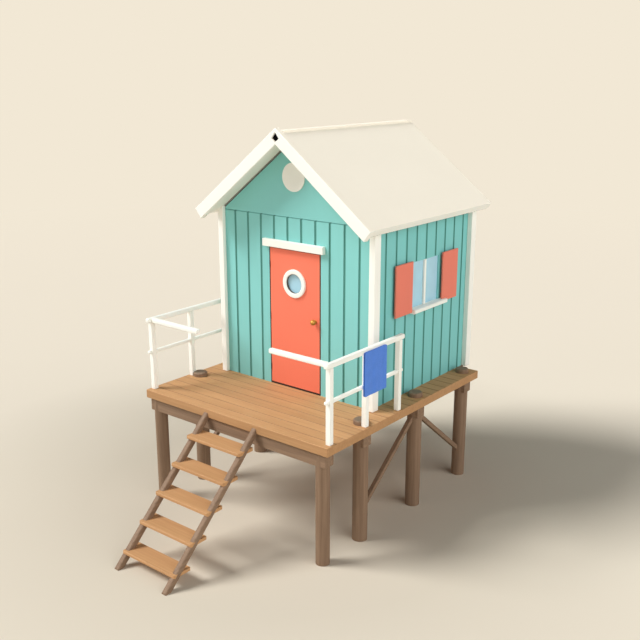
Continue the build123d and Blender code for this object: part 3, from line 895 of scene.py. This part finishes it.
mullionLook = {"narrow": 0.75, "middle": (0, 1.268 + shift, 3.25)}

for name, (width, material, slot, node) in softPieces.items():
    piece = cadCopy(name, node)
    if name == "mullions":
        editAll(piece)
        bpy.ops.transform.resize(value=(1, mullionLook["narrow"], 1), center_override=mullionLook["middle"])
        leaveEdit()
    soften(piece, width)
    finishPiece(piece, material, stands=(node,))

# Roof slabs: cream on top, white on the soffit and the edges
for name, node, side in (("roofRight", "roof_right", 1), ("roofLeft", "roof_left", -1)):
    slab = cadCopy(name, node)
    soften(slab, width=0.006)
    for face, out in ((walls["front"], -1), (walls["back"], 1)):
        ends = (face + out * gapLook["soffitWide"], face)
        cut(slab, slopeBox(side, ends, gapLook["overlap"], gapLook["soffitDeep"]))
    finishPiece(slab, roofPaint, stands=(node,))
    alsoFinish(slab, whiteBack, lambda middle, normal: normal.z < 0.5)
    paintGapShade(slab, *gapLook["soffitPaintedShade"])

# Window sills with a round nose, and the thin lip below each pane
sillLook = {"front": 0.887 + shift, "back": 1.761 + shift, "low": 2.868, "high": 2.928, "out": 1.452,
            "pane": 1.324, "nose": 0.024, "overlap": 0.01}


def sillPiece(name, side):
    sill = boxPiece(name, (walls["halfWidth"], sillLook["front"], sillLook["low"]),
                    (sillLook["out"], sillLook["back"], sillLook["high"]))
    roundEdges(sill, lambda start, end: min(start.x, end.x) > sillLook["out"] - hair,
               sillLook["nose"], segments=6)
    lip = boxPiece("lip", (sillLook["pane"], walls["windowFront"], walls["windowLow"]),
                   (walls["halfWidth"] + sillLook["overlap"], walls["windowBack"], sillLook["high"]))
    combine(sill, lip, "UNION")
    if side < 0:
        flipOver(sill)
    return sill


windowSills = joined([sillPiece("sillRight", 1), sillPiece("sillLeft", -1)], "windowSills")
finishPiece(windowSills, whiteBack, stands=("window_sills",))

doorLeaf = cadCopy("doorLeaf", "door_leaf")
soften(doorLeaf, width=0.004)
finishPiece(doorLeaf, coralPaint, body="door", stands=("door_leaf",))

# Bargeboards in one piece, with sharp edges behind the vent plate and cream on their upper faces
bargeLook = {"ventHalf": 0.08, "ventRoom": 0.02, "round": 0.010, "upper": 0.72}
bargeboards = cadCopy("bargeboards", "right_bargeboard")
combine(bargeboards, cadCopy("otherBarge", "left_bargeboard"), "UNION")
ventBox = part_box("vent_plate")
ventLow, ventHigh = ventBox[0][2] - bargeLook["ventRoom"], ventBox[1][2] + bargeLook["ventRoom"]


def outsideVent(start, end):
    middle = (start + end) / 2
    return not (abs(middle.x) < bargeLook["ventHalf"] and ventLow < middle.z < ventHigh)


roundEdges(bargeboards, outsideVent, bargeLook["round"], segments=3)
finishPiece(bargeboards, whiteAcross, stands=("left_bargeboard", "right_bargeboard"))
alsoFinish(bargeboards, roofPaint, lambda middle, normal: normal.z > bargeLook["upper"])
print("softened pieces done")

# Door fittings: a rounded ring, a dark seal in front of its glass, and a turned knob on both sides
port = {"height": deckTop + 1.570, "glass": 0.138, "outer": 0.205, "sleeve": 0.150, "proud": 0.026,
        "leaf": 0.044, "round": 0.013, "fineRound": 0.0012}
ringProfile = [(port["glass"], port["leaf"]), (port["glass"], -port["proud"]),
               (port["outer"], -port["proud"]), (port["outer"], 0), (port["sleeve"], 0),
               (port["sleeve"], port["leaf"])]
portRing = turnedPiece("portholeRing", ringProfile, port["height"])


def rimEdge(start, end):
    if max(start.y, end.y) > shift - port["proud"] + hair:
        return False
    first, second = (math.hypot(co.x, co.z - port["height"]) for co in (start, end))
    return abs(first - second) < hair


roundEdges(portRing, rimEdge, port["round"], segments=5)
soften(portRing, port["fineRound"], segments=2, angle=60)
finishPiece(portRing, whiteUpright, body="door", stands=("porthole_ring",))

sealLook = {"thick": 0.003, "slope": 0.002, "front": -0.013, "back": 0.0155}
sealInner = port["glass"] - sealLook["thick"]
sealProfile = [(port["glass"], sealLook["front"]), (sealInner, sealLook["front"] + sealLook["slope"]),
               (sealInner, sealLook["back"]), (port["glass"], sealLook["back"])]
portSeal = turnedPiece("portholeSeal", sealProfile, port["height"])
finishPiece(portSeal, sealRubber, body="door")

# Each point of the fillet: how much wider than the neck, and how much further out than the plate
knobLook = {"x": 0.373, "height": deckTop + 1.080, "ball": 0.040, "neck": 0.015, "stand": 0.052,
            "plate": 0.026, "plateThick": 0.006, "plateEdge": 0.002, "plateSide": 0.6,
            "fillet": ((0.006, 0), (0.001, 0.003), (-0.001, 0.007)), "steps": 14, "tip": 0.12,
            "spindle": 0.008, "spindlePast": 0.002}


def knobProfile(look):
    plate, thick, neck, ball = look["plate"], look["plateThick"], look["neck"], look["ball"]
    profile = [(plate, 0), (plate, -thick * look["plateSide"]), (plate - look["plateEdge"], -thick)]
    profile += [(neck + wider, -thick - further) for wider, further in look["fillet"]]
    start = math.asin(neck / ball)
    for step in range(look["steps"] + 1):
        angle = start + (math.pi - start - look["tip"]) * step / look["steps"]
        profile.append((ball * math.sin(angle), ball * math.cos(angle) - look["stand"]))
    return profile


knobFront = turnedPiece("doorKnobs", knobProfile(knobLook), knobLook["height"], knobLook["x"], 48, False)
knobBack = copyOf(knobFront, "knobBack")
knobBack.scale = (1, -1, 1)
knobBack.location = (0, 2 * shift + port["leaf"], 0)
settle(knobBack)
spindle = cylinderPiece(knobLook["spindle"], port["leaf"] + knobLook["spindlePast"],
                        (knobLook["x"], shift + port["leaf"] / 2, knobLook["height"]), alongSide, 24)
settle(spindle)
doorKnobs = joined([knobFront, knobBack, spindle], "doorKnobs")
facesOutward(doorKnobs)
finishPiece(doorKnobs, brass, body="door", stands=("door_knobs",))
print("door fittings done")

# Towel: folded once, with its fold at the back, and hung on the pegs by two buttonholes
towelLook = {
    "front": -0.614 + shift,
    "back": -0.116 + shift,
    "low": 2.131,
    "lowRoom": 0.002,
    "high": 2.730,
    "highRoom": 0.0005,
    "inner": 1.6542,
    "foldRadius": 0.0076,
    "shortOuter": 0.006,
    "thick": 0.004,
    "corner": 0.030,
    "sag": 0.002,
    "sagBeyond": 0.6,
    "sagSteep": 4,
    "hemWave": (0.0012, 31),
    "ripple": 0.0022,
    "outward": 0.4,
    "wide": {"waves": 27, "start": 0.6, "byLayer": 0.4},
    "fine": {"waves": 55, "start": 1.7, "byHeight": 3, "share": 0.45},
    "loosening": 0.8,
    "pegs": (-0.544 + shift, -0.186 + shift),
    "pegHeight": 2.708,
    "pegDent": (0.0015, 0.02),
    "holeRadius": 0.0085,
    "holeDeep": 0.022,
    "holeInward": 0.006,
    "hem": 0.016,
    "grid": (170, 84),
}


# How far the upper edge sags between the pegs and beyond them
def towelSag(look, y):
    between = (y - look["pegs"][0]) / (look["pegs"][1] - look["pegs"][0])
    if 0 < between < 1:
        return look["sag"] * math.sin(math.pi * between) ** 2
    return look["sag"] * (look["sagBeyond"] * min(abs(between - round(between)) * look["sagSteep"], 1))


# The hanging cloth: along is the run of the flat sheet round the fold, and upward goes from 0 to 1
def towelPoint(look, along, upward, foldAt, innerRun, arc):
    if along < innerRun:
        y, x = look["front"] + along, look["inner"]
    elif along < innerRun + arc:
        turn = (along - innerRun) / look["foldRadius"]
        y = foldAt + look["foldRadius"] * math.sin(turn)
        x = look["inner"] + look["foldRadius"] * (1 - math.cos(turn))
    else:
        y = foldAt - (along - innerRun - arc)
        x = look["inner"] + 2 * look["foldRadius"]
    outer = (x - look["inner"]) / (2 * look["foldRadius"])
    start = look["front"] + (look["shortOuter"] if outer > 0.5 else 0)
    edge = max(min(y - start, look["back"] - y), 0)
    drop = 0.0
    if edge < look["corner"]:
        drop = look["corner"] - math.sqrt(look["corner"] ** 2 - (look["corner"] - edge) ** 2)
    waveSize, waves = look["hemWave"]
    high = look["high"] - look["highRoom"] - drop - towelSag(look, y)
    low = look["low"] + look["lowRoom"] + drop + waveSize * math.sin(y * waves + outer)
    z = low + (high - low) * upward
    loose = (1 - upward) ** look["loosening"]
    wide, fine = look["wide"], look["fine"]
    wave = math.sin(y * wide["waves"] + wide["start"] + wide["byLayer"] * outer)
    wave += fine["share"] * math.sin(y * fine["waves"] + fine["start"] + z * fine["byHeight"])
    x += look["ripple"] * loose * (wave + look["outward"])
    dent, reach = look["pegDent"]
    for peg in look["pegs"]:
        near = ((y - peg) ** 2 + (z - look["pegHeight"]) ** 2) / reach ** 2
        x += dent * outer * math.exp(-near)
    return x, y, z


def makeTowel(look):
    foldAt = look["back"] - look["foldRadius"] - look["thick"] / 2
    innerRun = foldAt - look["front"]
    arc = math.pi * look["foldRadius"]
    flat = (2 * innerRun - look["shortOuter"] + arc, look["high"] - look["low"])
    deselect()
    columns, rows = look["grid"]
    bpy.ops.mesh.primitive_grid_add(x_subdivisions=columns, y_subdivisions=rows, size=1, calc_uvs=True)
    towel = bpy.context.object
    towel.name = "towelCloth"
    for vertex in towel.data.vertices:
        along = (vertex.co.x + 0.5) * flat[0]
        vertex.co = towelPoint(look, along, vertex.co.y + 0.5, foldAt, innerRun, arc)
    modify(towel, "SOLIDIFY", thickness=look["thick"], offset=0, use_even_offset=True)
    for peg in look["pegs"]:
        hole = (look["inner"] - look["holeInward"], peg, look["pegHeight"])
        cut(towel, cylinderPiece(look["holeRadius"], look["holeDeep"], hole, (0, quarter, 0)))
    return towel, flat


towelCloth, towelFlat = makeTowel(towelLook)
terryCotton = terryFinish("terryCotton", "towel", towelFlat, towelLook["hem"])
finishPiece(towelCloth, terryCotton, stands=("towel",), angle=60, even=False)
print("towel done")

# Countersunk screws in the deck boards, in front of the hut and beside it
screwLook = {"radius": 0.0045, "long": 0.0016, "middle": 0.0002, "rim": 0.0012, "cone": 0.0010,
             "sunk": 0.0006, "lines": (-1.60, -0.62, 0.62, 1.60), "inFromSeam": 0.035, "hutHalf": 1.42,
             "hutFront": 0.05, "pileRoom": 0.03, "postX": 1.615, "postRoom": 0.05,
             "posts": (-1.258, -0.508, 0.242)}


def makeScrew(look):
    screw = cylinderPiece(look["radius"], look["long"], (0, 0, look["middle"]), vertices=12)
    settle(screw)
    pick(screw, lambda middle, normal: normal.z > 0.9)
    bpy.ops.mesh.inset(thickness=look["rim"], depth=0)
    bpy.ops.mesh.inset(thickness=look["cone"], depth=-look["sunk"])
    leaveEdit()
    return screw


def screwFits(look, x, y, seam):
    underHut = abs(x) < look["hutHalf"] and seam > shift - look["hutFront"]
    nearPile = any(math.hypot(abs(x) - pileX, y - pileY) < radius + look["pileRoom"]
                   for pileY, radius in deckPiles)
    nearPost = abs(abs(x) - look["postX"]) < look["postRoom"] and any(
        abs(y - shift - post) < look["postRoom"] for post in look["posts"])
    return not (underHut or nearPile or nearPost)


screwPlaces = []
for seam, nextSeam in zip([deckFront] + deckLines, deckLines):
    for x in screwLook["lines"]:
        for y in (seam + screwLook["inFromSeam"], nextSeam - screwLook["inFromSeam"]):
            if screwFits(screwLook, x, y, seam):
                screwPlaces.append((x, y, deckTop))
screw = makeScrew(screwLook)
deckScrews = joined([copyOf(screw, "screw", place) for place in screwPlaces], "deckScrews")
bpy.data.objects.remove(screw)
finishPiece(deckScrews, screwMetal, even=False)
print(len(screwPlaces), "screws done")

# Floor, light and camera; each sun has its power, then its width and turn in degrees
studio = {
    "floorShadedNear": linear(214, 204, 186),
    "floorFar": linear(234, 224, 206),
    "backdrop": linear(242, 232, 213),
    "floorSize": 160,
    "paleFrom": 3.0,
    "paleTo": 6.5,
    "fadeFrom": 15.0,
    "fadeTo": 30.0,
    "suns": {
        "keySun": (3.2, 24, (45, 0, -51)),
        "sideSun": (2.0, 70, (68, 0, 84)),
        "frontSun": (0.75, 60, (83, 0, -15)),
    },
    "worldStrength": 0.05,
}


def blended(tree, factor, first, second):
    blend = put(tree, "ShaderNodeMixShader")
    for socket, value in zip(blend.inputs, (factor, first.outputs[0], second.outputs[0])):
        feed(tree, socket, value)
    return blend.outputs[0]


# Near the hut the floor takes light and shadow, on a darker colour there that is painted shade, and far off
# it is the backdrop's own colour
def makeFloorMaterial():
    material, tree, place = newMaterial("studioFloor")
    reach = vectorMaths(tree, "LENGTH", place)["Value"]
    nearShadeFade = mapped(tree, reach, studio["paleFrom"], studio["paleTo"], 0.0, 1.0)
    dressed(material, {
        "Base Color": mixed(tree, nearShadeFade, studio["floorShadedNear"], studio["floorFar"]),
        "Roughness": 0.95, "Specular IOR Level": 0.0,
    })
    glow = put(tree, "ShaderNodeEmission", Color=studio["backdrop"])
    far = mapped(tree, reach, studio["fadeFrom"], studio["fadeTo"], 0.0, 1.0)
    path = put(tree, "ShaderNodeLightPath").outputs
    seen = maths(tree, "MAXIMUM", path["Is Camera Ray"], path["Is Glossy Ray"])
    surface = blended(tree, maths(tree, "MULTIPLY", far, seen), tree.nodes["Principled BSDF"], glow)
    feed(tree, tree.nodes["Material Output"].inputs["Surface"], surface)
    return material


deselect()
bpy.ops.mesh.primitive_plane_add(size=studio["floorSize"], location=(0, 0, 0))
floor = bpy.context.object
floor.name = "floor"
floor.data.materials.append(makeFloorMaterial())

for name, (power, width, degrees) in studio["suns"].items():
    turn = [math.radians(angle) for angle in degrees]
    bpy.ops.object.light_add(type="SUN", location=(0, 0, 10), rotation=turn)
    sun = bpy.context.object
    sun.name = name
    sun.data.energy = power
    sun.data.angle = math.radians(width)

# The camera, glossy faces and glass see the backdrop, and all else gets a faint white light
world = bpy.data.worlds.new("studio")
bpy.context.scene.world = world
world.use_nodes = True
worldTree = world.node_tree
sky = worldTree.nodes["Background"]
sky.inputs["Color"].default_value = (1, 1, 1, 1)
sky.inputs["Strength"].default_value = studio["worldStrength"]
backdrop = put(worldTree, "ShaderNodeBackground", Color=studio["backdrop"], Strength=1.0)
rays = put(worldTree, "ShaderNodeLightPath").outputs
shown = maths(worldTree, "MAXIMUM", rays["Is Camera Ray"], rays["Is Glossy Ray"])
shown = maths(worldTree, "MAXIMUM", shown, rays["Is Transmission Ray"])
feed(worldTree, worldTree.nodes["World Output"].inputs["Surface"], blended(worldTree, shown, sky, backdrop))

camera = {
    "place": (7.886, -9.264 + shift, 6.197),
    "turn": (math.radians(74.09), 0, math.radians(38.73)),
    "lens": 50,
    "sensor": 36,
}
bpy.ops.object.camera_add(location=camera["place"], rotation=camera["turn"])
photoCamera = bpy.context.object
photoCamera.data.lens = camera["lens"]
photoCamera.data.sensor_width = camera["sensor"]
bpy.context.scene.camera = photoCamera
bpy.context.scene.view_settings.view_transform = "Standard"

print("scene done")
